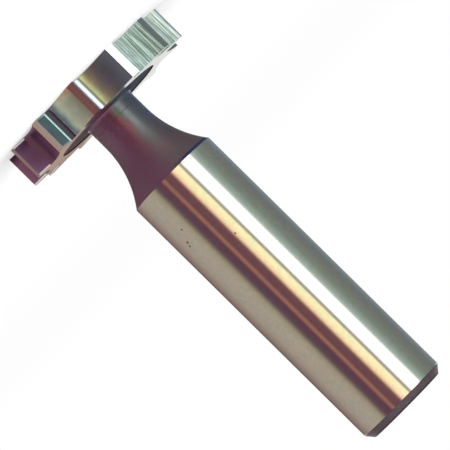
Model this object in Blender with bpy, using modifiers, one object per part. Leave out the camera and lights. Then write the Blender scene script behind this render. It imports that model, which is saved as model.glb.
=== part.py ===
"""Keyseat cutter: a straight-tooth cutter for half-round key slots, all one piece of steel.

It is turned from bar, fluted, hardened and ground between centres. The axis is +Z and the
cutter stands on the front face of its head, with the shank pointing up. The origin is on
the axis, level with the front of the tooth ring, and one tooth tip lies on +X.
"""
import math

import bmesh
import bpy

MM = 0.001

# Driving dimensions: lengths in millimetres, angles in degrees.
OVERALL_LENGTH = 56.5

HEAD_DIAMETER = 25.95
HEAD_WIDTH = 4.76
TOOTH_COUNT = 12

LAND_WIDTH = 1.05
LAND_RELIEF = 7.0
GULLET_DEPTH = 2.75
GULLET_RADIUS = 11.0
GULLET_FILLET = 0.7

SIDE_MARGIN = 0.3
HOLLOW_DEPTH = 0.06
HUB_DIAMETER = 15.8
HUB_RECESS = 0.14

SHANK_DIAMETER = 12.7
CHAMFER_LENGTH = 1.0
CHAMFER_DEPTH = 0.83

NECK_DIAMETER = 7.1
NECK_LENGTH = 2.95
NECK_SWEEP = 13.4
NECK_FILLET = 0.75

CENTRE_MOUTH = 3.6
CENTRE_PILOT = 1.8
CENTRE_ANGLE = 60.0
PILOT_LENGTH = 1.2
PILOT_TIP_ANGLE = 118.0

# How much the turned rim stands past the tooth tips before the teeth are cut.
GRINDING_ALLOWANCE = 0.2
# How far the tooth cutter reaches past the blank on every side.
CUTTER_OVERRUN = 0.5

# Facets: segments round the axis, and the largest turn between two points of an arc.
ROUND_STEPS = 96
ARC_STEP = 7.0
FILLET_STEP = 18.0

STEEL_COLOUR = (0.60, 0.58, 0.54, 1.0)
STEEL_ROUGHNESS = 0.25
SMOOTH_LIMIT = 28.0


def arc(centre, radius, start, end, step):
    """Points on an arc from one angle to another, both in radians, with both ends."""
    count = max(1, math.ceil(abs(end - start) / math.radians(step)))
    points = []
    for i in range(count + 1):
        angle = start + (end - start) * i / count
        x = centre[0] + radius * math.cos(angle)
        y = centre[1] + radius * math.sin(angle)
        points.append((x, y))
    return points


def centre_hole():
    """A drilled centre as (radius, depth) from the pilot's tip out to its mouth."""
    mouth = CENTRE_MOUTH / 2
    pilot = CENTRE_PILOT / 2
    cone_depth = (mouth - pilot) / math.tan(math.radians(CENTRE_ANGLE / 2))
    pilot_depth = cone_depth + PILOT_LENGTH
    tip_depth = pilot_depth + pilot / math.tan(math.radians(PILOT_TIP_ANGLE / 2))
    return [(0.0, tip_depth), (pilot, pilot_depth), (pilot, cone_depth), (mouth, 0.0)]


def hollow_side():
    """One side of the head as (radius, depth below the tooth ring), from hub to rim.

    The hub is a flat recess that the grinding wheel doesn't reach. From its step a shallow
    ground arc rises to the narrow margin at the tips.
    """
    hub = HUB_DIAMETER / 2
    margin = HEAD_DIAMETER / 2 - SIDE_MARGIN
    rim = HEAD_DIAMETER / 2 + GRINDING_ALLOWANCE
    run = margin - hub
    radius = (run ** 2 + HOLLOW_DEPTH ** 2) / (2 * HOLLOW_DEPTH)
    sweep = math.asin(run / radius)
    foot = math.radians(90)
    rise = arc((hub, HOLLOW_DEPTH - radius), radius, foot, foot - sweep, math.degrees(sweep) / 4)
    return [(hub, HOLLOW_DEPTH + HUB_RECESS)] + rise + [(rim, 0.0)]


def blank_profile():
    """The turned blank as (radius, height), from the top centre down to the bottom one."""
    shank = SHANK_DIAMETER / 2
    neck = NECK_DIAMETER / 2
    points = [(r, OVERALL_LENGTH - depth) for r, depth in centre_hole()]

    points.append((shank - CHAMFER_DEPTH, OVERALL_LENGTH))
    points.append((shank, OVERALL_LENGTH - CHAMFER_LENGTH))

    sweep_start = HEAD_WIDTH + NECK_LENGTH
    sweep_turn = math.acos((NECK_SWEEP - (shank - neck)) / NECK_SWEEP)
    sweep_centre = (neck + NECK_SWEEP, sweep_start)
    points += arc(sweep_centre, NECK_SWEEP, math.pi - sweep_turn, math.pi, ARC_STEP / 2)

    hub_depth = HOLLOW_DEPTH + HUB_RECESS
    hub_top = HEAD_WIDTH - hub_depth
    fillet_centre = (neck + NECK_FILLET, hub_top + NECK_FILLET)
    points += arc(fillet_centre, NECK_FILLET, math.pi, 1.5 * math.pi, FILLET_STEP)

    points += [(r, HEAD_WIDTH - depth) for r, depth in hollow_side()]
    points += [(r, depth) for r, depth in reversed(hollow_side())]
    points += [(r, hub_depth + depth) for r, depth in reversed(centre_hole())]
    return points


def tooth_outline():
    """One tooth as XY points: tip, heel of the land, gullet, and the foot of the next face.

    The face of each tooth is radial and looks clockwise, seen from the shank. The gullet is
    one arc through the heel that touches the floor circle, and a fillet leads from it into
    the next tooth's face.
    """
    pitch = math.tau / TOOTH_COUNT
    tip = HEAD_DIAMETER / 2
    relief = math.radians(LAND_RELIEF)
    heel = (tip - LAND_WIDTH * math.sin(relief), LAND_WIDTH * math.cos(relief))
    heel_radius = math.hypot(heel[0], heel[1])
    heel_angle = math.atan2(heel[1], heel[0])

    # The gullet's centre is one gullet radius from the heel and from the floor circle.
    reach = tip - GULLET_DEPTH + GULLET_RADIUS
    swing = (reach ** 2 + heel_radius ** 2 - GULLET_RADIUS ** 2) / (2 * reach * heel_radius)
    centre_angle = heel_angle + math.acos(swing)
    centre = (reach * math.cos(centre_angle), reach * math.sin(centre_angle))

    # The fillet's centre is one fillet radius from the next face and inside the gullet arc.
    along = (math.cos(pitch), math.sin(pitch))
    across = (math.sin(pitch), -math.cos(pitch))
    offset = (GULLET_FILLET * across[0] - centre[0], GULLET_FILLET * across[1] - centre[1])
    half = along[0] * offset[0] + along[1] * offset[1]
    inner = GULLET_RADIUS - GULLET_FILLET
    root = math.sqrt(half ** 2 - offset[0] ** 2 - offset[1] ** 2 + inner ** 2)
    distance = -half - root
    fillet = (
        distance * along[0] + GULLET_FILLET * across[0],
        distance * along[1] + GULLET_FILLET * across[1],
    )

    start = math.atan2(heel[1] - centre[1], heel[0] - centre[0]) % math.tau
    blend = math.atan2(fillet[1] - centre[1], fillet[0] - centre[0]) % math.tau
    face = math.atan2(-across[1], -across[0]) % math.tau
    gullet = arc(centre, GULLET_RADIUS, start, blend, ARC_STEP)
    corner = arc(fillet, GULLET_FILLET, blend, face, FILLET_STEP)
    return [(tip, 0.0)] + gullet + corner[1:]


def toothed_outline():
    """The outline of the whole tooth ring: one tooth's points, turned round the axis."""
    points = []
    for tooth in range(TOOTH_COUNT):
        turn = math.tau * tooth / TOOTH_COUNT
        for x, y in tooth_outline():
            points.append((
                x * math.cos(turn) - y * math.sin(turn),
                x * math.sin(turn) + y * math.cos(turn),
            ))
    return points


def new_collection(name):
    """An empty collection in the scene."""
    collection = bpy.data.collections.new(name)
    bpy.context.scene.collection.children.link(collection)
    return collection


def evaluated_mesh(obj):
    """A mesh of the object as the viewport shows it, with its modifiers applied."""
    depsgraph = bpy.context.evaluated_depsgraph_get()
    return bpy.data.meshes.new_from_object(obj.evaluated_get(depsgraph))


def turned_body(name, profile, collection):
    """A solid of revolution about Z, from a profile of (radius, height) points."""
    mesh = bpy.data.meshes.new(name)
    points = [(r * MM, 0.0, z * MM) for r, z in profile]
    edges = [(i, i + 1) for i in range(len(points) - 1)]
    mesh.from_pydata(points, edges, [])
    body = bpy.data.objects.new(name, mesh)
    collection.objects.link(body)

    screw = body.modifiers.new("turn", "SCREW")
    screw.axis = "Z"
    screw.angle = math.tau
    screw.screw_offset = 0.0
    screw.steps = ROUND_STEPS
    screw.render_steps = ROUND_STEPS
    screw.use_merge_vertices = True
    screw.merge_threshold = 1e-6
    return body


def add_outline(curve, points):
    """One closed straight-sided loop of a flat curve."""
    spline = curve.splines.new("POLY")
    spline.points.add(len(points) - 1)
    for point, (x, y) in zip(spline.points, points):
        point.co = (x * MM, y * MM, 0.0, 1.0)
    spline.use_cyclic_u = True


def tooth_cutter(name, collection):
    """A ring round the head, whose hole is the outline of the finished tooth ring."""
    curve = bpy.data.curves.new(name + "_outline", "CURVE")
    curve.dimensions = "2D"
    curve.fill_mode = "BOTH"
    curve.extrude = (HEAD_WIDTH / 2 + CUTTER_OVERRUN) * MM
    outer_radius = HEAD_DIAMETER / 2 + GRINDING_ALLOWANCE + CUTTER_OVERRUN
    outer = arc((0.0, 0.0), outer_radius, 0.0, math.tau, 360.0 / ROUND_STEPS)
    add_outline(curve, outer[:-1])
    add_outline(curve, toothed_outline())

    flat = bpy.data.objects.new(name + "_outline", curve)
    flat.location.z = HEAD_WIDTH / 2 * MM
    collection.objects.link(flat)
    mesh = evaluated_mesh(flat)
    mesh.transform(flat.matrix_world)
    bpy.data.objects.remove(flat)

    joined = bmesh.new()
    joined.from_mesh(mesh)
    bmesh.ops.remove_doubles(joined, verts=joined.verts, dist=1e-6)
    joined.to_mesh(mesh)
    joined.free()

    cutter = bpy.data.objects.new(name, mesh)
    cutter.display_type = "WIRE"
    cutter.hide_render = True
    collection.objects.link(cutter)
    return cutter


def cut(body, cutter):
    """Take the cutter's volume out of the body."""
    boolean = body.modifiers.new(cutter.name, "BOOLEAN")
    boolean.operation = "DIFFERENCE"
    boolean.solver = "EXACT"
    boolean.object = cutter


def shade_ground_metal(body):
    """Keep the turned and cut mesh, smooth where it is round and sharp at its edges."""
    mesh = evaluated_mesh(body)
    body.modifiers.clear()
    body.data = mesh
    mesh.shade_smooth()
    mesh.set_sharp_from_angle(angle=math.radians(SMOOTH_LIMIT))


def tool_steel():
    """Ground high-speed steel."""
    material = bpy.data.materials.new("tool_steel")
    material.use_nodes = True
    shader = material.node_tree.nodes["Principled BSDF"]
    shader.inputs["Base Color"].default_value = STEEL_COLOUR
    shader.inputs["Metallic"].default_value = 1.0
    shader.inputs["Roughness"].default_value = STEEL_ROUGHNESS
    return material


def keyseat_cutter():
    """The whole cutter, with its teeth cut from the turned blank."""
    parts = new_collection("keyseat_cutter")
    guides = new_collection("cutters")
    body = turned_body("cutter_body", blank_profile(), parts)
    cut(body, tooth_cutter("tooth_gaps", guides))
    shade_ground_metal(body)
    body.data.materials.append(tool_steel())
    return body


for leftover in list(bpy.data.objects):
    bpy.data.objects.remove(leftover)
keyseat_cutter()
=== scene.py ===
# %% [markdown]
# # A keyseat cutter
#
# A keyseat cutter mills the half-round slot that a half-round key sits in. It is one bar of
# high-speed steel: a thin toothed disc, a slim neck that lets the disc sink into the work, and
# a round shank for the collet. This lesson dresses the plain solid of that tool as the real
# one looks: ground bright where it grips and cuts, and dark from the hardening furnace
# everywhere else.
#
# The solid model is loaded first and stays as it is. Everything here is in metres, in that
# model's own frame: the tool stands on its toothed disc, and its axis is +Z.

# %% Load the solid model
import math

import bmesh
import bpy
from mathutils import Matrix, Vector


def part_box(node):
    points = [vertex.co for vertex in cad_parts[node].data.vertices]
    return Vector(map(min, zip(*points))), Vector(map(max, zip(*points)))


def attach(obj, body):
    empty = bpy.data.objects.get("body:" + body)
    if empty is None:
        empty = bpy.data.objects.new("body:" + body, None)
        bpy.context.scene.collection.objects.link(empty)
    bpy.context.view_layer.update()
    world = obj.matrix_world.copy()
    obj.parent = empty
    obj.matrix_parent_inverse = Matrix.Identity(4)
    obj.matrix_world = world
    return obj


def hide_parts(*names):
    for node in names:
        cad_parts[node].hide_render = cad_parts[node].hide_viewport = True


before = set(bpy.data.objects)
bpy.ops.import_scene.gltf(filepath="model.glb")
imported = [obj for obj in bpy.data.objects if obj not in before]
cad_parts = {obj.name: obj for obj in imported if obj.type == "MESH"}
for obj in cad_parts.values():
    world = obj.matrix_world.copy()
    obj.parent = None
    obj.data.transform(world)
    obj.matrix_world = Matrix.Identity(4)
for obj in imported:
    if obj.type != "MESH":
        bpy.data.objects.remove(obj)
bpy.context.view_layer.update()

MM = 0.001
NODE = "cutter_body"
lowest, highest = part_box(NODE)
print("solid, in mm:", [round(side / MM, 2) for side in highest - lowest])

# %% [markdown]
# ## The camera
#
# The picture is taken from half a metre with a long lens, almost square to the axis. The
# camera stands level with a point three quarters of the way up the tool and looks slightly
# down, so the back of the toothed disc just shows. It is rolled by nearly 45 degrees, which
# lays the tool across the picture from corner to corner. A camera looks along its own -Z, so
# its matrix is written from three directions: right, up and back.

# %% Camera
PICTURE_SIDE = 450
PIXEL = 0.12342 * MM
SENSOR = 36.0
CAMERA_AWAY = 543 * MM
CAMERA_HEIGHT = 43.2 * MM
CAMERA_TURN = math.radians(-92.45)
CAMERA_ROLL = math.radians(44.62)
AIM_HEIGHT = 24.9 * MM
AIM_ASIDE = 0.06 * MM

AXIS = Vector((0.0, 0.0, 1.0))


def camera_matrix():
    """Where the camera stands and how it is turned."""
    toward = Vector((math.cos(CAMERA_TURN), math.sin(CAMERA_TURN), 0.0))
    aside = toward.cross(AXIS) * AIM_ASIDE
    place = toward * CAMERA_AWAY + AXIS * CAMERA_HEIGHT + aside
    back = (place - AXIS * AIM_HEIGHT - aside).normalized()
    along = (AXIS - back * AXIS.dot(back)).normalized()
    across = back.cross(along)
    right = along * math.cos(CAMERA_ROLL) + across * math.sin(CAMERA_ROLL)
    up = across * math.cos(CAMERA_ROLL) - along * math.sin(CAMERA_ROLL)
    turned = Matrix((right, up, back)).transposed().to_4x4()
    return Matrix.Translation(place) @ turned


camera = bpy.data.objects.new("camera", bpy.data.cameras.new("camera"))
camera.data.sensor_width = SENSOR
camera.data.lens = SENSOR * CAMERA_AWAY / (PICTURE_SIDE * PIXEL)
camera.matrix_world = camera_matrix()
bpy.context.scene.collection.objects.link(camera)
bpy.context.scene.camera = camera
print("lens, in mm:", round(camera.data.lens, 1))

# %% [markdown]
# ## Sums as Python, nodes as calls
#
# Every finish below is a sum: so much of one colour where a pattern is high, a little more
# roughness where lines run. Wiring such sums by hand hides what they say. One small class
# holds a socket and answers to Python's own + - * / signs by adding the Math node, also when
# the number stands first, as in 1 - mask. Every other node comes from `node`, which sets the
# node's own choices first and then fills its sockets with values or wires. The same class
# serves the shader trees and the Geometry Nodes trees.

# %% A wire that can be reckoned with


class Wire:
    """A node tree, and one output in it that Python's operators work on."""

    def __init__(self, tree, socket=None):
        self.tree = tree
        self.socket = socket

    def node(self, kind, settings=None, inputs=None, output=0):
        """Add a node: its settings first, then the values or wires of its sockets."""
        made = self.tree.nodes.new(kind)
        for name, value in (settings or {}).items():
            if name == "stops":
                fill_ramp(made.color_ramp, value)
            else:
                setattr(made, name, value)
        for key, value in (inputs or {}).items():
            self.feed(made.inputs[key], value)
        return Wire(self.tree, made.outputs[output]) if made.outputs else Wire(self.tree)

    def feed(self, socket, value):
        """Give a socket a value, or link a wire to it."""
        if isinstance(value, Wire):
            self.tree.links.new(value.socket, socket)
        else:
            socket.default_value = value

    def out(self, name):
        """Another output of the same node."""
        return Wire(self.tree, self.socket.node.outputs[name])

    def math(self, operation, *values):
        """A Math node on any values or wires."""
        return self.node("ShaderNodeMath", {"operation": operation}, dict(enumerate(values)))

    def __add__(self, other):
        return self.math("ADD", self, other)

    def __sub__(self, other):
        return self.math("SUBTRACT", self, other)

    def __mul__(self, other):
        return self.math("MULTIPLY", self, other)

    def __truediv__(self, other):
        return self.math("DIVIDE", self, other)

    def __pow__(self, other):
        return self.math("POWER", self, other)

    def __gt__(self, other):
        return self.math("GREATER_THAN", self, other)

    def __lt__(self, other):
        return self.math("LESS_THAN", self, other)

    def __rsub__(self, other):
        return self.math("SUBTRACT", other, self)

    def __rtruediv__(self, other):
        return self.math("DIVIDE", other, self)

    __radd__ = __add__
    __rmul__ = __mul__

    def rise(self, start, end):
        """0 below start, 1 above end, and a smooth change between the two."""
        settings = {"interpolation_type": "SMOOTHSTEP"}
        span = {"Value": self, "From Min": start, "From Max": end}
        return self.node("ShaderNodeMapRange", settings, span)

    def mix(self, low, high):
        """The colour low where this wire is 0, and high where it is 1."""
        settings = {"data_type": "RGBA"}
        return self.node("ShaderNodeMix", settings, {0: self, 6: low, 7: high}, 2)


def fill_ramp(ramp, stops):
    """Give a colour ramp its stops, each a (position, colour)."""
    while len(ramp.elements) < len(stops):
        ramp.elements.new(1.0)
    for element, (position, colour) in zip(ramp.elements, stops):
        element.position = position
        element.color = colour


def opaque(colour):
    """A colour as the four numbers that a socket takes."""
    return (*colour, 1.0)


print("wires are ready")

# %% [markdown]
# ## The studio
#
# A ground shank is a mirror: its colour is the colour of the room. So the room is built as
# carefully as the tool. The floor and the world are white and give the white background.
# Round the tool, out of the camera's sight, stands a ring of tall screens that only the metal
# sees: one soft lamp panel, a strip of brass-coloured board beside it, dark brown and plum
# cloths in front, and warm grey walls. Each colour is written with the angle at which it
# stands, counted from the camera, and from one to the next they blend. Behind the tool a
# white wall rises above the dark boards. The disc's flat side, seen at a low angle, mirrors
# that wall, and the shank's edges mirror only the boards.

# %% The ring of screens
RING_RADIUS = 2.0
RING_HEIGHT = 7.0
RING_SIDES = 96

SCREENS = [
    # degrees from the camera, colour
    (-179, (0.14, 0.10, 0.10)), (-156, (0.19, 0.135, 0.125)), (-146, (0.28, 0.20, 0.18)),
    (-130, (0.34, 0.265, 0.225)), (-116, (0.40, 0.35, 0.295)), (-100, (0.435, 0.385, 0.33)),
    (-75, (0.45, 0.405, 0.33)), (-62, (0.41, 0.36, 0.27)), (-56, (0.30, 0.25, 0.19)),
    (-50, (0.15, 0.105, 0.10)), (-44, (0.125, 0.07, 0.11)), (-32.5, (0.14, 0.058, 0.08)),
    (-25, (0.40, 0.19, 0.145)), (-18.5, (0.175, 0.076, 0.08)), (-6, (0.18, 0.082, 0.105)),
    (-2, (0.24, 0.10, 0.09)), (2, (0.80, 0.53, 0.36)), (5, (1.15, 0.87, 0.55)),
    (13, (1.22, 1.12, 0.66)), (22, (1.22, 1.14, 0.71)), (25.5, (0.42, 0.39, 0.27)),
    (28, (0.40, 0.38, 0.30)), (31.5, (0.90, 0.93, 0.94)), (35, (2.2, 2.2, 2.2)),
    (56, (2.2, 2.2, 2.2)), (61, (0.75, 0.85, 0.82)), (65, (0.45, 0.55, 0.50)),
    (72, (0.34, 0.43, 0.375)), (85, (0.23, 0.28, 0.24)), (110, (0.195, 0.212, 0.193)),
    (130, (0.175, 0.205, 0.215)), (179, (0.30, 0.34, 0.38)),
]
WALL = (0.95, 0.95, 0.95)
PALE = (0.62, 0.62, 0.62)

# Where the white wall starts on either side, as a share of a turn from the camera. Then the
# slopes, seen from the tool, at which it rises over the boards and the screens turn pale.
WALL_SIDES = (0.38, 0.43)
WALL_FOOT = (0.056, 0.068)
PALE_SLOPE = (0.5, 1.6)


def screen_material():
    """Light from the screens, by the direction in which they stand."""
    material = bpy.data.materials.new("studio_screens")
    material.use_nodes = True
    material.node_tree.nodes.clear()
    sheet = Wire(material.node_tree)
    place = sheet.node("ShaderNodeTexCoord", output="Object")
    x = sheet.node("ShaderNodeSeparateXYZ", inputs={0: place})
    angle = sheet.math("ARCTAN2", x.out("Y"), x)
    turn = (CAMERA_TURN - angle) / math.tau + 0.5
    turn = turn.math("FRACT", turn)
    stops = [((degrees + 180) / 360, opaque(colour)) for degrees, colour in SCREENS]
    colour = sheet.node("ShaderNodeValToRGB", {"stops": stops}, {0: turn})
    slope = x.out("Z") / RING_RADIUS
    behind = sheet.math("ABSOLUTE", turn - 0.5).rise(*WALL_SIDES)
    colour = (behind * slope.rise(*WALL_FOOT)).mix(colour, opaque(WALL))
    colour = sheet.math("ABSOLUTE", slope).rise(*PALE_SLOPE).mix(colour, opaque(PALE))
    light = sheet.node("ShaderNodeEmission", inputs={0: colour, 1: 1.0})
    sheet.node("ShaderNodeOutputMaterial", inputs={0: light})
    return material


def screen_ring():
    """An open tube of screens round the tool, which only reflections see."""
    shell = bmesh.new()
    bmesh.ops.create_cone(
        shell, segments=RING_SIDES, depth=RING_HEIGHT, radius1=RING_RADIUS, radius2=RING_RADIUS
    )
    mesh = bpy.data.meshes.new("studio_screens")
    shell.to_mesh(mesh)
    shell.free()
    ring = bpy.data.objects.new("studio_screens", mesh)
    mesh.materials.append(screen_material())
    bpy.context.scene.collection.objects.link(ring)
    ring.visible_camera = False
    ring.visible_diffuse = False
    ring.visible_transmission = False
    ring.visible_shadow = False


screen_ring()
print("screens:", len(SCREENS))

# %% [markdown]
# ## Floor, world and lamps
#
# The floor is a matt white sheet. Round the tool it takes a soft shadow. Further away, where
# the lamps no longer reach, the camera sees it turn to plain white, so that it meets the white
# world without a seam. From below it can be seen through, which lets the front of the disc be
# looked at. The world shows white to the camera, to reflections and to anything seen through
# glass, and lights matt surfaces a little less strongly, which leaves room for two large lamps
# to give shape. Reflections don't see the lamps or the floor, because the screens stand for
# both.

# %% Floor, world and lamps
FLOOR_RADIUS = 3.0
FLOOR_SIDES = 96
FLOOR_COLOUR = (0.98, 0.98, 0.98)
FLOOR_DROP = 0.02 * MM
WHITE_FROM, WHITE_AT = 0.12, 0.60
WORLD_FILL = 0.55
LAMPS = [
    # name, place and size in metres, power in watts
    ("lamp_overhead", (0.2, -0.3, 1.6), 1.4, 14.0),
    ("lamp_side", (-1.2, -0.8, 0.7), 1.0, 7.0),
]


def seen(sheet):
    """1 where the camera looks, also by way of metal or glass."""
    ray = sheet.node("ShaderNodeLightPath", output="Is Camera Ray")
    either = ray.math("MAXIMUM", ray, ray.out("Is Glossy Ray"))
    return either.math("MAXIMUM", either, ray.out("Is Transmission Ray"))


def floor_material():
    """Matt white near the tool, plain white far away, and clear from below."""
    material = bpy.data.materials.new("studio_floor")
    material.use_nodes = True
    material.node_tree.nodes.clear()
    sheet = Wire(material.node_tree)
    place = sheet.node("ShaderNodeTexCoord", output="Object")
    away = sheet.node("ShaderNodeVectorMath", {"operation": "LENGTH"}, {0: place}, "Value")
    matt = sheet.node("ShaderNodeBsdfDiffuse", inputs={0: opaque(FLOOR_COLOUR)})
    white = sheet.node("ShaderNodeEmission", inputs={0: opaque((1, 1, 1)), 1: 1.0})
    far = away.rise(WHITE_FROM, WHITE_AT) * seen(sheet)
    top = sheet.node("ShaderNodeMixShader", inputs={0: far, 1: matt, 2: white})
    below = sheet.node("ShaderNodeNewGeometry", output="Backfacing")
    clear = sheet.node("ShaderNodeBsdfTransparent")
    both = sheet.node("ShaderNodeMixShader", inputs={0: below, 1: top, 2: clear})
    sheet.node("ShaderNodeOutputMaterial", inputs={0: both})
    return material


def floor_sheet():
    """A round sheet, a hair's breadth under the tool."""
    disc = bmesh.new()
    bmesh.ops.create_circle(disc, cap_ends=True, segments=FLOOR_SIDES, radius=FLOOR_RADIUS)
    mesh = bpy.data.meshes.new("studio_floor")
    disc.to_mesh(mesh)
    disc.free()
    floor = bpy.data.objects.new("studio_floor", mesh)
    mesh.materials.append(floor_material())
    bpy.context.scene.collection.objects.link(floor)
    floor.location.z = -FLOOR_DROP
    floor.visible_glossy = False


def studio_world():
    """White where it is seen, and a soft fill where it lights matt surfaces."""
    world = bpy.data.worlds.new("studio")
    world.use_nodes = True
    world.node_tree.nodes.clear()
    sheet = Wire(world.node_tree)
    fill = sheet.node("ShaderNodeBackground", inputs={0: opaque((1, 1, 1)), 1: WORLD_FILL})
    white = sheet.node("ShaderNodeBackground", inputs={0: opaque((1, 1, 1)), 1: 1.0})
    mixed = sheet.node("ShaderNodeMixShader", inputs={0: seen(sheet), 1: fill, 2: white})
    sheet.node("ShaderNodeOutputWorld", inputs={0: mixed})
    bpy.context.scene.world = world


def soft_lamp(name, place, size, power):
    """A square lamp that looks at the tool and isn't mirrored in it."""
    lamp = bpy.data.objects.new(name, bpy.data.lights.new(name, "AREA"))
    lamp.data.size = size
    lamp.data.energy = power
    lamp.location = place
    lamp.rotation_euler = Vector(place).to_track_quat("Z", "Y").to_euler()
    lamp.visible_glossy = False
    bpy.context.scene.collection.objects.link(lamp)


floor_sheet()
studio_world()
for lamp in LAMPS:
    soft_lamp(*lamp)
bpy.context.scene.view_settings.view_transform = "Standard"
print("floor, world and lamps are in place")

# %% [markdown]
# ## Ground and hardened steel
#
# All the finishes start from one Principled shader. Colour, roughness and height are patterns
# of the place on the tool, in millimetres, so that they stay put from every side. A height
# becomes a change of the surface's slope through a Bump node, whose distance says how deep
# the pattern is in metres. The film that heat leaves on steel is never even, so two of the
# finishes share a helper that breaks its colour up into flecks.

# %% What every finish shares
# Half the width in millimetres of the strip that faces the camera, where it starts to fade and
# where it ends.
CAMERA_STRIP = (2.8, 4.6)


def noise(point, scale, detail=3.0, roughness=0.5):
    """Soft noise from 0 to 1, with features about 1 / scale wide."""
    inputs = {"Vector": point, "Scale": scale, "Detail": detail, "Roughness": roughness}
    return point.node("ShaderNodeTexNoise", None, inputs)


def vector(x, y, z):
    """Three values or wires as one vector."""
    wire = next(value for value in (x, y, z) if isinstance(value, Wire))
    return wire.node("ShaderNodeCombineXYZ", None, {0: x, 1: y, 2: z})


class Place:
    """Where a point of the tool is, in millimetres, for a finish to use."""

    def __init__(self, sheet):
        point = sheet.node("ShaderNodeTexCoord", output="Object")
        settings = {"operation": "SCALE"}
        self.point = sheet.node("ShaderNodeVectorMath", settings, {0: point, "Scale": 1 / MM})
        self.x = sheet.node("ShaderNodeSeparateXYZ", inputs={0: self.point})
        self.y = self.x.out("Y")
        self.z = self.x.out("Z")
        self.angle = sheet.math("ARCTAN2", self.y, self.x)
        self.radius = sheet.math("SQRT", self.x * self.x + self.y * self.y)

    def blot(self, centre, size):
        """1 at a centre in millimetres, falling to 0 at the blot's ragged edge."""
        settings = {"operation": "DISTANCE"}
        away = self.point.node("ShaderNodeVectorMath", settings, {0: self.point, 1: centre}, 1)
        ragged = noise(self.point, 6.0, 2.0) * size
        return 1 - (away + ragged).rise(size * 0.7, size * 1.5)

    def camera_strip(self):
        """1 on the strip of the disc's sides, before the neck, that faces the camera."""
        aside = self.x.math("ABSOLUTE", self.x) + noise(self.point, 0.7, 3.0) * 1.2
        return (1 - aside.rise(*CAMERA_STRIP)) * (self.y < 0.0)


def flecked(place, colour, amount):
    """A film's colour broken up by small greenish and wine-red flecks."""
    flecks = noise(place.point, 1.7, 4.0, 0.7)
    colour = (flecks.rise(0.50, 0.66) * amount).mix(colour, opaque((0.11, 0.14, 0.11)))
    return ((1 - flecks.rise(0.34, 0.50)) * amount).mix(colour, opaque((0.25, 0.06, 0.14)))


def finish(name, metallic, colour, roughness, height=None, depth=0.01, specular=0.5):
    """A Principled material from the wires or values of a finish; depth is in millimetres."""
    material = bpy.data.materials[name]
    sheet = Wire(material.node_tree)
    shader = material.node_tree.nodes["Principled BSDF"]
    shader.inputs["Specular IOR Level"].default_value = specular
    sheet.feed(shader.inputs["Metallic"], metallic)
    sheet.feed(shader.inputs["Base Color"], colour)
    sheet.feed(shader.inputs["Roughness"], roughness)
    if height is not None:
        inputs = {"Strength": 1.0, "Distance": depth * MM, "Height": height}
        sheet.feed(shader.inputs["Normal"], sheet.node("ShaderNodeBump", None, inputs))
    print("finish:", name, len(material.node_tree.nodes), "nodes")


def new_sheet(name):
    """A new material's node tree as a wire, and the place on the tool."""
    material = bpy.data.materials.new(name)
    material.use_nodes = True
    sheet = Wire(material.node_tree)
    return sheet, Place(sheet)


# %% [markdown]
# ### The ground shank
#
# The shank is ground between centres, so its lines run round it, less than a tenth of a
# millimetre apart. They are too fine to see one by one and show as a slight unevenness of the
# gloss. Handling leaves a faint warm film on it, and there are a few small dents.

# %% Ground shank
DENTS = [
    # height above the base, angle round the axis in degrees, size, all in mm but the angle
    (21.7, -52.4, 0.20),
    (23.3, -45.0, 0.27),
    (23.8, -43.0, 0.22),
    (26.7, -94.0, 0.20),
    (41.0, 64.0, 0.24),
    (33.5, 150.0, 0.22),
]
SHANK_RADIUS = 6.35


def ground_shank():
    """Bright steel with fine lines round the axis."""
    sheet, place = new_sheet("ground_shank")
    lines = noise(vector(place.angle * 2.0, place.z * 12.0, 0.0), 1.0, 4.0, 0.6)
    grain = noise(place.point, 1.7, 3.0, 0.6).rise(0.35, 0.65)
    film = noise(place.point, 0.25, 2.0)
    blots = []
    for height, degrees, size in DENTS:
        angle = math.radians(degrees)
        centre = (SHANK_RADIUS * math.cos(angle), SHANK_RADIUS * math.sin(angle), height)
        blots.append(place.blot(centre, size))
    marks = blots[0]
    for blot in blots[1:]:
        marks = marks.math("MAXIMUM", marks, blot)
    colour = grain.mix(opaque((0.87, 0.80, 0.76)), opaque((0.73, 0.76, 0.73)))
    colour = (film.rise(0.35, 0.75) * 0.7).mix(colour, opaque((0.80, 0.76, 0.71)))
    colour = marks.mix(colour, opaque((0.22, 0.17, 0.15)))
    roughness = 0.055 + lines * 0.03 + film * 0.02 + marks * 0.3
    height = lines * 0.15 - marks
    finish("ground_shank", 1.0, colour, roughness, height, 0.004)


ground_shank()

# %% [markdown]
# ### The hardened neck
#
# The neck, the hub and the chamfer are left as they come from hardening: a thin dark oxide over
# turned steel. Its colour also carries painted reflection: on the slim neck it is painted wine red
# on one side and grey-blue on the other, along the sweep it fades to brown, and the sharp shoulder
# has a line of painted blue reflection on one side. The hub, in the corner behind the disc, is
# painted near black and matt, as painted shade. On a strip that faces the camera half of that
# painted shade is lifted and the steel stays glossy, and there the disc mirrors the neck. The
# oxide is half metal and half matt, so it has a colour of its own where the ground shank has none.
# Shallow turning marks run round it.

# %% Hardened steel
# Heights in millimetres between which the oxide changes from the neck to the sweep, goes dull,
# shows the painted blue reflection at the shoulder, changes to the chamfer and darkens at the end.
SWEEP_FROM = (7.0, 13.0)
DULL_FROM = (8.0, 11.5)
BLUE_LINE = (15.5, 30.0)
CHAMFER_FROM = (30.0, 40.0)
END_FROM = (56.2, 56.4)
# Beyond this radius and below this height, in mm, the hub is painted dark as painted shade.
HUB_SHADE_RADIUS, HUB_SHADE_TOP = 3.75, 5.5


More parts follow.
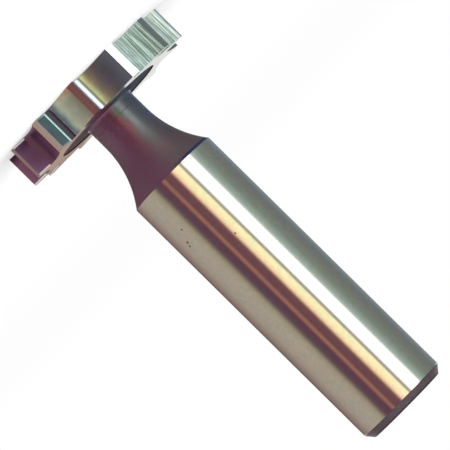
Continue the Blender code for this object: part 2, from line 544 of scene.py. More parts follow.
def hardened_steel():
    """Dark oxide over turned steel, with painted reflection and painted shade in its colour."""
    sheet, place = new_sheet("hardened_steel")
    turning = noise(vector(place.angle * 0.8, place.z * 5.0, place.radius * 5.0), 1.0, 3.0)
    mottle = noise(place.point, 1.4, 4.0, 0.65)
    patches = noise(place.point, 0.35, 2.0) - 0.5
    # Painted reflection: this mask, by side with some random patches, paints the oxide wine red on
    # one side of the tool and grey-blue on the other.
    reflection_side = patches * 0.6 - place.x / place.radius
    colour = reflection_side.rise(-0.1, 0.3).mix(opaque((0.195, 0.085, 0.15)), opaque((0.13, 0.10, 0.115)))
    neck = reflection_side.rise(-0.3, 0.1).mix(opaque((0.26, 0.10, 0.19)), opaque((0.23, 0.085, 0.13)))
    neck = reflection_side.rise(-0.75, -0.4).mix(opaque((0.235, 0.135, 0.205)), neck)
    neck = reflection_side.rise(0.12, 0.36).mix(neck, opaque((0.135, 0.17, 0.17)))
    neck = reflection_side.rise(0.6, 0.9).mix(neck, opaque((0.11, 0.15, 0.24)))
    colour = place.z.rise(*SWEEP_FROM).mix(neck, colour)
    colour = place.z.rise(*CHAMFER_FROM).mix(colour, opaque((0.085, 0.065, 0.08)))
    colour = (mottle.rise(0.45, 0.8) * 0.5).mix(colour, opaque((0.16, 0.10, 0.08)))
    colour = flecked(place, colour, 0.42)
    # Painted reflection: a dark blue line along the shoulder, on one side only.
    shoulder_reflection = (place.z > BLUE_LINE[0]) * (place.z < BLUE_LINE[1]) * reflection_side.rise(0.1, 0.6)
    colour = shoulder_reflection.mix(colour, opaque((0.03, 0.04, 0.12)))
    colour = place.z.rise(*END_FROM).mix(colour, opaque((0.03, 0.02, 0.03)))
    # Painted shade: the hub behind the disc is painted near black and matt, tinted by side as
    # painted reflection; on the strip facing the camera half of it is lifted.
    scale = (place.radius > HUB_SHADE_RADIUS) * (place.z < HUB_SHADE_TOP)
    shade_lifted = scale * place.camera_strip()
    hub_shade_colour = reflection_side.rise(-0.2, 0.2).mix(opaque((0.05, 0.03, 0.04)), opaque((0.015, 0.02, 0.045)))
    colour = (scale - shade_lifted * 0.5).mix(colour, hub_shade_colour)
    roughness = 0.21 + place.z.rise(*DULL_FROM) * 0.19 + mottle * 0.14 + (scale - shade_lifted) * 0.5
    height = turning + mottle
    metallic = 0.55 - (scale - shade_lifted) * 0.55
    finish("hardened_steel", metallic, colour, roughness, height, 0.0015, 0.2)


hardened_steel()

# %% [markdown]
# ### The teeth
#
# The teeth are coloured with painted reflection and painted shade: straw, plum, blue and
# green-grey, changing round the disc so that each tooth carries the colours that it mirrors
# towards the camera. `way_round` says how far round a point is, and each finish looks up its own
# colour with it.
#
# The grinding lines have to follow the curved gullet, so they read a UV map in millimetres,
# which the tooth's mesh brings along: U is the way along the tooth's outline, V the way across
# it. The tops of the teeth, the lands, are ground last and are the brightest.

# %% Grinding lines, temper colours and lands
LINE_MAP = "grind_map"
PALE_SIDE = math.radians(165.0)


def across_lines(sheet, fineness, stretch=0.06):
    """Lines that run across the disc, and how far along the outline a point is, in mm."""
    place = sheet.node("ShaderNodeUVMap", {"uv_map": LINE_MAP})
    along = sheet.node("ShaderNodeSeparateXYZ", inputs={0: place})
    grid = vector(along * fineness, along.out("Y") * fineness * stretch, 0.0)
    return noise(grid, 1.0, 3.0, 0.6), along


def way_round(place):
    """How far round the disc a point is: 1 on one side, 0 opposite, with a little drift."""
    turned = place.angle - PALE_SIDE
    drift = noise(place.point, 0.5, 2.0) - 0.5
    return turned.math("COSINE", turned) * 0.5 + 0.5 + drift * 0.06


def tint_round_disc(place, *stops):
    """Painted reflection and shade: a colour for each share of the way round the disc, from the
    darkest side to the palest.
    """
    stops = [(share_round, opaque(colour)) for share_round, colour in stops]
    return place.point.node("ShaderNodeValToRGB", {"stops": stops}, {0: way_round(place)})


def tooth_land():
    """Bright ground tops of the teeth."""
    sheet, place = new_sheet("tooth_land")
    lines, along = across_lines(sheet, 9.0)
    grain = noise(place.point, 2.0)
    # Painted reflection: the land's tint changes round the disc.
    tint = tint_round_disc(
        place,
        (0.16, (0.84, 0.61, 0.62)), (0.28, (0.84, 0.68, 0.64)), (0.45, (0.84, 0.80, 0.76)),
        (0.72, (0.84, 0.80, 0.76)), (0.80, (0.60, 0.67, 0.78)),
    )
    colour = (grain * 0.25).mix(tint, opaque((0.55, 0.53, 0.50)))
    colour = ((1 - along.rise(0.1, 0.6)) * 0.5).mix(colour, opaque((0.60, 0.72, 0.90)))
    finish("tooth_land", 1.0, colour, 0.12 + lines * 0.08, lines, 0.002)


tooth_land()

# %% [markdown]
# ### The gullets
#
# The gullets between the teeth are ground by a shaped wheel that runs through parallel to the
# axis, so their lines run straight across the disc. The wheel wears as it goes round, and its
# lines get coarser from one gullet to the next. How coarse they are comes from a number that
# the node tree below stores on each tooth's faces. Towards its root a gullet turns up softly,
# from `ROOT_BLEND` on, in millimetres along the outline. That only changes the slope that the
# light sees, so it is a height in the finish, and the mesh keeps the solid's outline.

# %% Gullets
COARSENESS = "wheel_wear"
ROOT_BLEND = 4.7
TURN_UP = 0.075


def tooth_gullet():
    """Gullets, ground across, with lines that coarsen as the wheel wears."""
    sheet, place = new_sheet("tooth_gullet")
    wear = sheet.node("ShaderNodeAttribute", {"attribute_name": COARSENESS}, output="Fac")
    lines, along = across_lines(sheet, 6.0, 0.02)
    mottle = noise(place.point, 1.2, 4.0, 0.6)
    # Painted reflection and painted shade: the gullet's tint changes band by band round the disc.
    tint = tint_round_disc(
        place,
        (0.03, (0.55, 0.40, 0.66)), (0.12, (0.58, 0.48, 0.66)), (0.17, (0.62, 0.60, 0.76)),
        (0.18, (0.34, 0.38, 0.46)), (0.192, (0.47, 0.57, 0.56)), (0.204, (0.67, 0.77, 0.67)),
        (0.216, (0.83, 0.89, 0.71)), (0.23, (1.00, 0.94, 0.74)), (0.26, (0.80, 0.70, 0.50)),
        (0.32, (0.84, 0.54, 0.34)), (0.39, (0.34, 0.44, 0.37)), (0.44, (0.78, 1.00, 0.70)),
        (0.50, (0.48, 0.68, 0.68)), (0.60, (0.27, 0.30, 0.54)), (0.66, (0.36, 0.46, 0.44)),
        (0.74, (0.36, 0.52, 0.54)), (0.83, (0.52, 0.84, 0.92)), (0.87, (0.76, 0.92, 0.92)),
        (1.00, (0.64, 0.72, 0.65)),
    )
    colour = (mottle.rise(0.4, 0.8) * 0.2).mix(tint, opaque((0.36, 0.33, 0.36)))
    colour = flecked(place, colour, 0.09)
    colour = ((1 - lines.rise(0.42, 0.53)) * wear * 0.9).mix(colour, opaque((0.12, 0.19, 0.17)))
    colour = (lines.rise(0.53, 0.64) * wear * 0.8).mix(colour, opaque((0.90, 0.96, 0.92)))
    roughness = 0.26 + mottle * 0.10
    share_round = way_round(place)
    metallic = 1 - share_round.rise(0.13, 0.18) * (1 - share_round.rise(0.25, 0.31)) * 0.32
    turn_up = along.math("MAXIMUM", along - ROOT_BLEND, 0.0) ** 2.0
    height = lines * (0.06 + wear) * 0.09 + turn_up * TURN_UP
    finish("tooth_gullet", metallic, colour, roughness, height, 1.0)


tooth_gullet()

# %% [markdown]
# ### The roots
#
# The worn corner of the wheel burnishes the small fillet at each root nearly flat, from
# `ROOT_FLAT` on and over `ROOT_REACH`. This too is a height in the finish, and it undoes the
# fillet's own turn as far as it reaches. The fillet's tint is painted reflection, and except where
# the painted colours are darkest a dark line of painted shade marks the fillet's start.

# %% Roots
ROOT_FLAT = 6.4
ROOT_REACH = 0.52
BURNISH = 0.67


def tooth_root():
    """The small fillets at the roots, burnished nearly flat by the wheel's worn corner."""
    sheet, place = new_sheet("tooth_root")
    lines, along = across_lines(sheet, 6.0)
    far_round = way_round(place).rise(0.10, 0.15)
    # Painted reflection: the fillet's tint changes round the disc.
    tint = tint_round_disc(
        place,
        (0.10, (0.48, 0.27, 0.46)), (0.14, (0.42, 0.80, 0.95)), (0.18, (0.42, 0.80, 0.95)),
        (0.30, (0.50, 0.62, 0.74)),
    )
    colour = (lines * 0.2).mix(tint, opaque((0.5, 0.5, 0.5)))
    # Painted shade: a dark line where the gullet turns into the fillet, except where the painted
    # colours are darkest.
    root_shade_line = (1 - along.rise(ROOT_FLAT - 0.05, ROOT_FLAT + 0.15)) * far_round * 0.65
    colour = root_shade_line.mix(colour, opaque((0.14, 0.15, 0.12)))
    roughness = 0.35 - far_round * 0.25 + lines * 0.06
    run = along.math("MAXIMUM", along - ROOT_FLAT, 0.0)
    worn = run.math("MINIMUM", run, ROOT_REACH)
    height = lines * 0.002 - worn * (2 * run - worn) * BURNISH
    finish("tooth_root", 1.0, colour, roughness, height, 1.0)


tooth_root()

# %% [markdown]
# ### The cutting faces and the disc's sides
#
# The cutting faces are flat and smooth, and end in a fine honed bevel at both sides of the disc.
# Their tint is painted reflection, and on the teeth least far round they carry painted shade
# towards the disc's front side. The disc's sides are ground hollow by a cup wheel that sweeps over
# them in wide arcs round its own middle, `CUP_WHEEL`. On part of the way round they are painted
# brown and made less metallic, as painted shade, and on the strip that faces the camera they are
# more metallic and glossier.

# %% Cutting faces and sides
HEAD_WIDTH = 4.76
FACE_BEVEL = 0.2
BEVEL_SLOPE = 0.6
CUP_WHEEL = (3.0, -22.0, 2.4)


def tooth_face():
    """Cutting faces: flat and smooth, with a honed bevel at both ends."""
    sheet, place = new_sheet("tooth_face")
    lines = across_lines(sheet, 7.0)[0]
    mottle = noise(place.point, 1.6)
    # Painted reflection: the faces' tint changes round the disc.
    tint = tint_round_disc(place, (0.06, (0.48, 0.25, 0.46)), (0.12, (0.11, 0.24, 0.30)))
    colour = (mottle * 0.4).mix(tint, opaque((0.30, 0.28, 0.32)))
    # Painted shade: the faces darken towards the disc's front side on the teeth least far round.
    front_shade = (1 - place.z.rise(0.2, 1.8)) * (1 - way_round(place).rise(0.06, 0.12))
    colour = front_shade.mix(colour, opaque((0.10, 0.04, 0.09)))
    inside = place.z.math("MINIMUM", place.z, HEAD_WIDTH - place.z)
    bevel = 1 - inside.rise(FACE_BEVEL, FACE_BEVEL + 0.02)
    colour = bevel.mix(colour, opaque((0.85, 0.84, 0.82)))
    fall = inside.math("MINIMUM", inside, FACE_BEVEL)
    height = lines * 0.003 + fall * BEVEL_SLOPE
    finish("tooth_face", 0.8, colour, 0.24 - bevel * 0.1, height, 1.0)


def hollow_side():
    """The disc's sides, ground by a cup wheel in wide arcs."""
    sheet, place = new_sheet("hollow_side")
    settings = {"operation": "DISTANCE"}
    ends = {0: place.point, 1: CUP_WHEEL}
    sweep = sheet.node("ShaderNodeVectorMath", settings, ends, 1)
    arcs = noise(vector(sweep * 7.0, place.angle, 0.0), 1.0, 3.0, 0.6)
    grain = noise(place.point, 1.4)
    # Painted shade: on part of the way round the sides are painted brown and made less metallic.
    share_round = way_round(place).rise(0.30, 0.60)
    tint = share_round.mix(opaque((0.36, 0.21, 0.13)), opaque((0.84, 0.81, 0.76)))
    colour = (grain * 0.3).mix(tint, opaque((0.60, 0.57, 0.54)))
    # The strip facing the camera is made more metallic and glossier.
    camera_strip = place.camera_strip()
    metallic = camera_strip.math("MAXIMUM", camera_strip, 0.2 + share_round * 0.8)
    roughness = 0.16 - camera_strip * 0.08 + arcs * 0.12
    finish("hollow_side", metallic, colour, roughness, arcs, 0.003, 0.0)


tooth_face()
hollow_side()

# %% [markdown]
# ## One tooth
#
# The twelve teeth are all alike, so only one is drawn. Its outline starts at the tip, runs
# back along the relieved land to the heel, sinks through one long gullet arc to the floor
# circle, turns through a small fillet and climbs the next tooth's radial face. The arcs are
# reckoned from the sizes, so that the gullet passes through the heel and touches the floor
# circle, and the fillet touches both the gullet and the face.

# %% Outline of one tooth
TEETH = 12
TIP_RADIUS = 12.975
LAND_WIDTH = 1.05
LAND_RELIEF = math.radians(7.0)
GULLET_DEPTH = 2.75
GULLET_RADIUS = 11.0
GULLET_FILLET = 0.7
PITCH = math.tau / TEETH

# How many edges each stretch of the outline is drawn with, in order.
STRETCHES = [("tooth_land", 3), ("tooth_gullet", 27), ("tooth_root", 7), ("tooth_face", 3)]
EDGES = sum(count for name, count in STRETCHES)


def on_circle(centre, radius, angle):
    """A point on a circle."""
    return Vector((centre.x + radius * math.cos(angle), centre.y + radius * math.sin(angle)))


def arc(centre, radius, start, end, count):
    """The points after the first on an arc from start to end."""
    turns = [start + (end - start) * (i + 1) / count for i in range(count)]
    return [on_circle(centre, radius, turn) for turn in turns]


def line(start, end, count):
    """The points after the first on a straight line."""
    return [start.lerp(end, (i + 1) / count) for i in range(count)]


def heading(way):
    """A direction's angle from 0 up to one turn."""
    return math.atan2(way.y, way.x) % math.tau


def tooth_outline():
    """The outline of one pitch, from one tip to the next, in millimetres."""
    axis = Vector((0.0, 0.0))
    tip = Vector((TIP_RADIUS, 0.0))
    next_tip = on_circle(axis, TIP_RADIUS, PITCH)
    lean = Vector((-math.sin(LAND_RELIEF), math.cos(LAND_RELIEF)))
    heel = tip + lean * LAND_WIDTH

    reach = TIP_RADIUS - GULLET_DEPTH + GULLET_RADIUS
    swing = (reach ** 2 + heel.length_squared - GULLET_RADIUS ** 2) / (2 * reach * heel.length)
    gullet = on_circle(axis, reach, heading(heel) + math.acos(swing))

    along = on_circle(axis, 1.0, PITCH)
    across = Vector((along.y, -along.x))
    offset = across * GULLET_FILLET - gullet
    inner = GULLET_RADIUS - GULLET_FILLET
    half = along.dot(offset)
    away = -half - math.sqrt(half ** 2 - offset.length_squared + inner ** 2)
    fillet = along * away + across * GULLET_FILLET

    start, blend, foot = heading(heel - gullet), heading(fillet - gullet), heading(-across)
    land_edges, gullet_edges, fillet_edges, face_edges = [count for name, count in STRETCHES]
    points = [tip] + line(tip, heel, land_edges)
    points += arc(gullet, GULLET_RADIUS, start, blend, gullet_edges)
    points += arc(fillet, GULLET_FILLET, blend, foot, fillet_edges)
    points += line(points[-1], next_tip, face_edges)
    return points


outline = tooth_outline()
floor_radius = min(point.length for point in outline)
print("outline points:", len(outline), "floor radius in mm:", round(floor_radius, 3))

# %% [markdown]
# ## A slice of the disc
#
# One pitch of the disc is a slice like a slice of cake with its middle missing. It is built
# from ribs: each outline point has one, which starts on the hub's circle at the front, runs
# out over the hollow side, turns across the width of the tooth and comes back to the hub's
# circle at the back. Neighbouring ribs are joined by four-sided faces. The hub's points are
# evenly spaced, a little ahead of the outline's, so that no rib leaves the metal behind a
# tooth's face.

# %% Mesh of one slice
HUB_RADIUS = 7.9
HOLLOW_DEPTH = 0.06
SIDE_MARGIN = 0.3
LEAST_MARGIN = 0.1
HUB_LEAD = 4
SIDE_RINGS = 6
WIDTH_STEPS = 5


def hollow(radius):
    """How far the disc's side lies below its rim, at a radius."""
    run = TIP_RADIUS - SIDE_MARGIN - HUB_RADIUS
    bend = (run ** 2 + HOLLOW_DEPTH ** 2) / (2 * HOLLOW_DEPTH)
    out = min(max(radius - HUB_RADIUS, 0.0), run)
    return HOLLOW_DEPTH - (bend - math.sqrt(bend ** 2 - out ** 2))


def side_points(hub, edge):
    """From the hub's circle out to the outline, as (x, y, depth)."""
    margin = min(TIP_RADIUS - SIDE_MARGIN, edge.length - LEAST_MARGIN)
    share = (margin - HUB_RADIUS) / (edge.length - HUB_RADIUS)
    steps = [share * i / (SIDE_RINGS - 1) for i in range(SIDE_RINGS)] + [1.0]
    flat = [hub.lerp(edge, step) for step in steps]
    return [(point.x, point.y, hollow(point.length)) for point in flat]


def rib(index):
    """One rib of the slice, from the front of the hub round to the back, in millimetres."""
    edge = outline[index]
    hub = on_circle(Vector((0.0, 0.0)), HUB_RADIUS, PITCH * (index + HUB_LEAD) / EDGES)
    front = side_points(hub, edge)
    depth = hollow(edge.length)
    width = HEAD_WIDTH - 2 * depth
    wall = [depth + width * (i + 1) / WIDTH_STEPS for i in range(WIDTH_STEPS - 1)]
    back = [(x, y, HEAD_WIDTH - z) for x, y, z in reversed(front)]
    return front + [(edge.x, edge.y, z) for z in wall] + back


def slice_mesh(finishes):
    """The slice as a mesh, with a finish number on each face and the map for the lines."""
    ribs = [rib(index) for index in range(EDGES + 1)]
    length = len(ribs[0])
    points = [(x * MM, y * MM, z * MM) for row in ribs for x, y, z in row]
    names = [name for name, count in STRETCHES for i in range(count)]
    travelled = [0.0]
    for start, end in zip(outline, outline[1:]):
        travelled.append(travelled[-1] + (end - start).length)

    faces, numbers, corners = [], [], []
    for column in range(EDGES):
        for row in range(length - 1):
            at_edge = SIDE_RINGS <= row < SIDE_RINGS + WIDTH_STEPS
            places = [(column, row), (column + 1, row), (column + 1, row + 1), (column, row + 1)]
            faces.append([c * length + r for c, r in places])
            numbers.append(finishes.index(names[column] if at_edge else "hollow_side"))
            corners += [(travelled[c], ribs[c][r][2]) for c, r in places]

    mesh = bpy.data.meshes.new("cutter_slice")
    mesh.from_pydata(points, [], faces)
    mesh.attributes.new("finish", "INT", "FACE").data.foreach_set("value", numbers)
    flat_corners = [number for corner in corners for number in corner]
    mesh.uv_layers.new(name=LINE_MAP).data.foreach_set("uv", flat_corners)
    return mesh


TOOTH_FINISHES = ["tooth_land", "tooth_gullet", "tooth_root", "tooth_face", "hollow_side"]
slice_of_disc = slice_mesh(TOOTH_FINISHES)
slice_of_disc.materials.append(bpy.data.materials["tooth_land"])
print("faces in a slice:", len(slice_of_disc.polygons))

# %% [markdown]
# ## Twelve teeth by Geometry Nodes
#
# The slice could be copied round the axis in a loop, but a node tree keeps the count as an
# input that can be changed afterwards. The tree makes one point for each tooth, all on the
# axis, puts the slice on each and turns it by its number. Before the copies are made real, it
# stores on each how worn the wheel was, counted from the tooth that it started on. Then the
# copies are welded, and each face gets the material that its number names.

# %% Tree for the ring of teeth
FIRST_TOOTH = 8
WELD = 0.001 * MM


def new_tree(name, inputs):
    """A Geometry Nodes tree with named inputs, as a wire on each of its inputs."""
    tree = bpy.data.node_groups.new(name, "GeometryNodeTree")
    for label, kind in {"Geometry": "NodeSocketGeometry", **inputs}.items():
        tree.interface.new_socket(label, in_out="INPUT", socket_type=kind)
    tree.interface.new_socket("Geometry", in_out="OUTPUT", socket_type="NodeSocketGeometry")
    return tree, Wire(tree).node("NodeGroupInput")


def paint(geometry, names, given):
    """The first material all over, then each other one on the faces with its number."""
    settings = {"data_type": "INT"}
    number = geometry.node("GeometryNodeInputNamedAttribute", settings, {"Name": "finish"})
    for index, name in enumerate(names):
        inputs = {"Geometry": geometry, "Material": given.out(name)}
        if index:
            inputs["Selection"] = geometry.math("COMPARE", number, float(index), 0.5)
        geometry = geometry.node("GeometryNodeSetMaterial", None, inputs)
    return geometry


def tooth_ring_tree():
    """Repeats one slice round the axis."""
    sizes = {"Teeth": "NodeSocketInt", "First Tooth": "NodeSocketInt"}
    materials = {name: "NodeSocketMaterial" for name in TOOTH_FINISHES}
    tree, given = new_tree("tooth_ring", {**sizes, "Weld": "NodeSocketFloat", **materials})
    teeth = given.out("Teeth")

    points = given.node("GeometryNodePoints", None, {"Count": teeth})
    number = given.node("GeometryNodeInputIndex")
    turn = vector(0.0, 0.0, number * math.tau / teeth)
    rotation = turn.node("FunctionNodeEulerToRotation", None, {0: turn})
    inputs = {"Points": points, "Instance": given, "Rotation": rotation}
    copies = given.node("GeometryNodeInstanceOnPoints", None, inputs)

    order = given.math("FLOORED_MODULO", number - given.out("First Tooth"), teeth)
    wear = (order / teeth) ** 2.0
    settings = {"data_type": "FLOAT", "domain": "INSTANCE"}
    inputs = {"Geometry": copies, "Name": COARSENESS, "Value": wear}
    copies = given.node("GeometryNodeStoreNamedAttribute", settings, inputs)

    real = given.node("GeometryNodeRealizeInstances", None, {"Geometry": copies})
    inputs = {"Geometry": real, "Distance": given.out("Weld")}
    welded = given.node("GeometryNodeMergeByDistance", None, inputs)
    painted = paint(welded, TOOTH_FINISHES, given)
    given.node("NodeGroupOutput", None, {0: painted})
    return tree


def add_tree(obj, tree, values):
    """A Geometry Nodes modifier, with its inputs set by the sockets' identifiers."""
    modifier = obj.modifiers.new(tree.name, "NODES")
    modifier.node_group = tree
    for item in tree.interface.items_tree:
        if item.in_out == "INPUT" and item.name in values:
            modifier[item.identifier] = values[item.name]


cutter = bpy.data.objects.new("keyseat_cutter", slice_of_disc)
bpy.context.scene.collection.objects.link(cutter)
paints = {name: bpy.data.materials[name] for name in TOOTH_FINISHES}
values = {"Teeth": TEETH, "First Tooth": FIRST_TOOTH, "Weld": WELD, **paints}
add_tree(cutter, tooth_ring_tree(), values)
print("tree for", TEETH, "teeth")

# %% [markdown]
# ## The turned parts
#
# Everything else was turned on a lathe: the hub's recess and the drilled centre at the front,
# and from the back of the disc the hub, the fillet, the neck, its long sweep up to the shank,
# the shank, the chamfer and the centre in the end. A lathe's shape is a profile, a chain of
# (radius, height) points. Small breaks are put on its outer corners, because no real edge is
# perfectly sharp, and they catch the light. A support point stands close beside each break, so
# that the smooth shading turns there and not all the way along the shank.

# %% Profile of the turned parts
LENGTH = 56.5
HUB_RECESS = 0.14
CHAMFER_LENGTH = 1.0
CHAMFER_DEPTH = 0.83
NECK_RADIUS = 3.55
NECK_LENGTH = 2.95
NECK_SWEEP = 13.4
NECK_FILLET = 0.75
FILLET_STEPS, SWEEP_STEPS = 10, 28
EDGE_BREAK = 0.05
SUPPORT = 0.1

# A turning mark round the neck, and the drilled centres.
MARK_HEIGHT = 6.2
MARK_DEPTH = 0.03
MARK_REACH = 0.04
CENTRE_MOUTH = 1.8
CENTRE_CONE = math.radians(30)
PILOT_RADIUS = 0.9
PILOT_LENGTH = 1.2
PILOT_TIP = math.radians(59)
MOUTH_BREAK = 0.06

# Rings of points that split the flat faces round the centres.
HUB_RING = 5.0
END_RING = 4.0

HUB_DEPTH = HOLLOW_DEPTH + HUB_RECESS
SWEEP_START = HEAD_WIDTH + NECK_LENGTH
SHANK_TOP = LENGTH - CHAMFER_LENGTH


def drilled_centre():
    """A centre hole as (radius, depth), from its mouth down to the pilot's tip."""
    mouth = [(CENTRE_MOUTH + MOUTH_BREAK, 0.0), (CENTRE_MOUTH, MOUTH_BREAK)]
    cone = (CENTRE_MOUTH - PILOT_RADIUS) / math.tan(CENTRE_CONE)
    bottom = cone + PILOT_LENGTH
    tip = bottom + PILOT_RADIUS / math.tan(PILOT_TIP)
    return mouth + [(PILOT_RADIUS, cone), (PILOT_RADIUS, bottom), (0.0, tip)]


def curve(centre, radius, start, end, count):
    """Points on an arc of the profile, with both ends; angles in degrees."""
    first, last = math.radians(start), math.radians(end)
    middle = Vector(centre)
    whole = [on_circle(middle, radius, first)] + arc(middle, radius, first, last, count)
    return [tuple(point) for point in whole]


def front_profile():
    """From the pilot's tip out to the hub's edge, on the side the cutter stands on."""
    centre = [(r, HUB_DEPTH + depth) for r, depth in reversed(drilled_centre())]
    recess = [(HUB_RING, HUB_DEPTH), (HUB_RADIUS, HUB_DEPTH)]
    return centre + recess + [(HUB_RADIUS, HOLLOW_DEPTH)]


def back_profile():
    """From the hub's edge behind the disc up to the pilot's tip in the end of the shank."""
    hub = HEAD_WIDTH - HUB_DEPTH
    points = [(HUB_RADIUS, HEAD_WIDTH - HOLLOW_DEPTH), (HUB_RADIUS, hub)]
    points += [(NECK_RADIUS + NECK_FILLET + SUPPORT, hub)]
    fillet = (NECK_RADIUS + NECK_FILLET, hub + NECK_FILLET)
    points += curve(fillet, NECK_FILLET, 270, 180, FILLET_STEPS)
    points += [(NECK_RADIUS, MARK_HEIGHT - away) for away in (SUPPORT, MARK_REACH)]
    points += [(NECK_RADIUS - MARK_DEPTH, MARK_HEIGHT)]
    points += [(NECK_RADIUS, MARK_HEIGHT + MARK_REACH)]

    rise = SHANK_RADIUS - EDGE_BREAK - NECK_RADIUS
    turn = math.degrees(math.acos((NECK_SWEEP - rise) / NECK_SWEEP))
    middle = (NECK_RADIUS + NECK_SWEEP, SWEEP_START)
    points += curve(middle, NECK_SWEEP, 180, 180 - turn, SWEEP_STEPS)
    shoulder = points[-1][1] + EDGE_BREAK
    ground_end = SHANK_TOP - EDGE_BREAK
    points += [(SHANK_RADIUS, z) for z in (shoulder, shoulder + SUPPORT)]
    points += [(SHANK_RADIUS, z) for z in (ground_end - SUPPORT, ground_end)]

    # The chamfer's face, from break to break, with a support point near each.
    corner = SHANK_RADIUS - CHAMFER_DEPTH
    start = Vector((SHANK_RADIUS - 0.6 * EDGE_BREAK, SHANK_TOP + 0.4 * EDGE_BREAK))
    end = Vector((corner + 0.6 * EDGE_BREAK, LENGTH - EDGE_BREAK))
    points += [tuple(start.lerp(end, share)) for share in (0.0, 0.1, 0.9, 1.0)]
    points += [(corner - EDGE_BREAK, LENGTH), (END_RING, LENGTH)]
    points += [(r, LENGTH - depth) for r, depth in drilled_centre()]
    return points, shoulder


back, SHOULDER = back_profile()
front = front_profile()
print("profile points:", len(front), "+", len(back), "shoulder at", round(SHOULDER, 2), "mm")

# %% [markdown]
# ## Turning by Geometry Nodes
#
# A Screw modifier would spin the profile too. The tree below does it with a grid, which shows
# what a lathe's shape is: the grid's columns are the steps round the axis and its rows are
# the profile's points. Each grid point looks up its row's radius and height and moves to
# them, at its column's angle. The row where the profile jumps from the front of the disc to
# its back is left out, because the teeth fill it. The tree paints all of it dark, joins the
# teeth and welds the seams. Last it paints the shank bright, by its height on the tool.

# %% Tree for the turned parts
GROUND_SLACK = 0.02


def turned_tree():
    """Spins the profile object's points round the axis and joins the teeth to them."""
    inputs = {
        "Profile": "NodeSocketObject", "Steps": "NodeSocketInt", "Gap Row": "NodeSocketInt",
        "Ground From": "NodeSocketFloat", "Ground To": "NodeSocketFloat",
        "Weld": "NodeSocketFloat",
        "Ground": "NodeSocketMaterial", "Hardened": "NodeSocketMaterial",
    }
    tree, given = new_tree("turned_body", inputs)
    inputs = {"Object": given.out("Profile")}
    profile = given.node("GeometryNodeObjectInfo", None, inputs, "Geometry")
    rows = profile.node("GeometryNodeAttributeDomainSize", None, {"Geometry": profile})
    steps = given.out("Steps")
    inputs = {"Vertices X": steps + 1, "Vertices Y": rows}
    grid = given.node("GeometryNodeMeshGrid", None, inputs)

    index = given.node("GeometryNodeInputIndex")
    column = index.math("FLOOR", (index + 0.5) / rows)
    row = index - column * rows
    position = given.node("GeometryNodeInputPosition")
    settings = {"data_type": "FLOAT_VECTOR", "domain": "POINT"}
    inputs = {"Geometry": profile, "Value": position, "Index": row}
    found = given.node("GeometryNodeSampleIndex", settings, inputs)
    radius = given.node("ShaderNodeSeparateXYZ", inputs={0: found})
    angle = column * math.tau / steps
    cosine, sine = angle.math("COSINE", angle), angle.math("SINE", angle)
    place = vector(radius * cosine, radius * sine, radius.out("Z"))
    inputs = {"Geometry": grid, "Position": place}
    turned = given.node("GeometryNodeSetPosition", None, inputs)

    face_rows = rows - 1
    face_row = index - index.math("FLOOR", (index + 0.5) / face_rows) * face_rows
    gap = given.math("COMPARE", face_row, given.out("Gap Row"), 0.5)
    inputs = {"Geometry": turned, "Selection": gap}
    turned = given.node("GeometryNodeDeleteGeometry", {"domain": "FACE"}, inputs)

    inputs = {"Geometry": turned, "Material": given.out("Hardened")}
    dark = given.node("GeometryNodeSetMaterial", None, inputs)
    both = given.node("GeometryNodeJoinGeometry", None, {0: dark})
    given.tree.links.new(given.socket, both.socket.node.inputs[0])
    inputs = {"Geometry": both, "Distance": given.out("Weld")}
    welded = given.node("GeometryNodeMergeByDistance", None, inputs)

    real = given.node("GeometryNodeRealizeInstances", None, {"Geometry": welded})
    height = given.node("ShaderNodeSeparateXYZ", inputs={0: position}).out("Z")
    ground = (height > given.out("Ground From")) * (height < given.out("Ground To"))
    inputs = {"Geometry": real, "Selection": ground, "Material": given.out("Ground")}
    painted = given.node("GeometryNodeSetMaterial", None, inputs)
    given.node("NodeGroupOutput", None, {0: painted})
    return tree


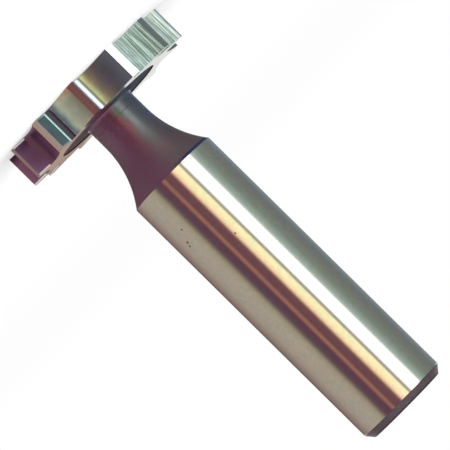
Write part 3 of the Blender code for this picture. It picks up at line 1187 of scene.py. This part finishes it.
profile_mesh = bpy.data.meshes.new("turned_profile")
profile_points = [(r * MM, 0.0, z * MM) for r, z in front + back]
profile_mesh.from_pydata(profile_points, [], [])
profile = bpy.data.objects.new("turned_profile", profile_mesh)
bpy.context.scene.collection.objects.link(profile)
values = {
    "Profile": profile,
    "Steps": TEETH * EDGES,
    "Gap Row": len(front) - 1,
    "Ground From": (SHOULDER - GROUND_SLACK) * MM,
    "Ground To": (SHANK_TOP - GROUND_SLACK) * MM,
    "Weld": WELD,
    "Ground": bpy.data.materials["ground_shank"],
    "Hardened": bpy.data.materials["hardened_steel"],
}
add_tree(cutter, turned_tree(), values)
print("steps round the axis:", TEETH * EDGES)

# %% [markdown]
# ## From trees to a plain mesh
#
# The finished tool is handed on as a plain mesh, so the trees are evaluated once and taken
# off. The mesh has to be one closed skin whose faces all look outwards. Faces that meet at
# more than 28 degrees keep a sharp edge, and the rest are shaded smooth.

# %% Plain mesh
SMOOTH_LIMIT = math.radians(28.0)


def drop_empty_slots(mesh):
    """Leave out material slots that the trees made and nothing uses."""
    kept = [i for i, material in enumerate(mesh.materials) if material]
    materials = [mesh.materials[i] for i in kept]
    numbers = [kept.index(face.material_index) for face in mesh.polygons]
    mesh.materials.clear()
    for material in materials:
        mesh.materials.append(material)
    mesh.polygons.foreach_set("material_index", numbers)


def plain_mesh(obj):
    """The evaluated mesh, with its faces turned outwards and its edges sharpened."""
    mesh = bpy.data.meshes.new_from_object(
        obj.evaluated_get(bpy.context.evaluated_depsgraph_get())
    )
    drop_empty_slots(mesh)
    skin = bmesh.new()
    skin.from_mesh(mesh)
    bmesh.ops.recalc_face_normals(skin, faces=skin.faces)
    open_edges = sum(not edge.is_manifold for edge in skin.edges)
    volume = skin.calc_volume()
    skin.to_mesh(mesh)
    skin.free()
    mesh.shade_smooth()
    mesh.set_sharp_from_angle(angle=SMOOTH_LIMIT)
    print("faces:", len(mesh.polygons), "open edges:", open_edges)
    print("volume in cubic mm:", round(volume / MM ** 3, 1))
    return mesh


finished = plain_mesh(cutter)
cutter.modifiers.clear()
cutter.data = finished
finished.name = "keyseat_cutter"
bpy.data.objects.remove(profile)
print("materials:", [material.name for material in finished.materials])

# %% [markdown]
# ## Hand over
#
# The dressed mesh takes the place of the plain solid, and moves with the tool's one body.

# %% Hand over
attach(cutter, "root")
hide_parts(NODE)
